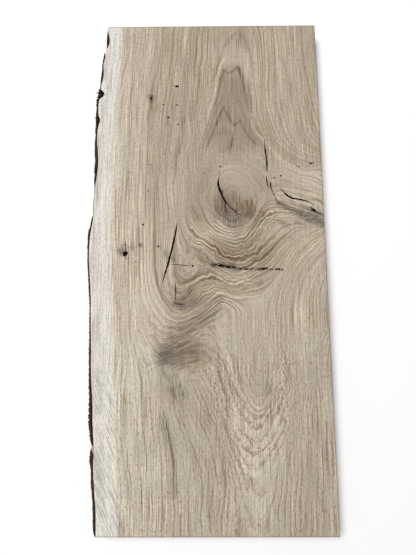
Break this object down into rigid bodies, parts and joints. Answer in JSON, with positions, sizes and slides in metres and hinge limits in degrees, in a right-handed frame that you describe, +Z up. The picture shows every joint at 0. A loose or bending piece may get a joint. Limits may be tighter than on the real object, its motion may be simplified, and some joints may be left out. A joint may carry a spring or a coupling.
{
  "type": "live edge oak board",
  "caption": "Flat oak board with one natural live edge carrying pale sapwood and scraps of bark, and three sawn edges.",
  "frame": {"origin": "centre of the box round the whole board, on the plane of the underside that it lies on", "axes": "+Y along the length of the board, +X towards the sawn long edge, so that the live edge is on the -X side, and +Z up out of the top face"},
  "size_m": [0.4744, 1, 0.04],
  "materials": {
    "oak": "planed and sanded, bare matt oak, with straight to curly grain, pale sapwood along the live edge, dark splits and small knots",
    "bark": "rough, dry, dark brown fibrous bark, fissured and flaking"
  },
  "bodies": {
    "root": {"board": "oak", "bark_near_strip": "bark", "bark_middle_strip": "bark", "bark_upper_strip": "bark", "bark_burr_strip": "bark", "bark_sliver": "bark", "bark_far_flake": "bark"}
  },
  "joints": []
}
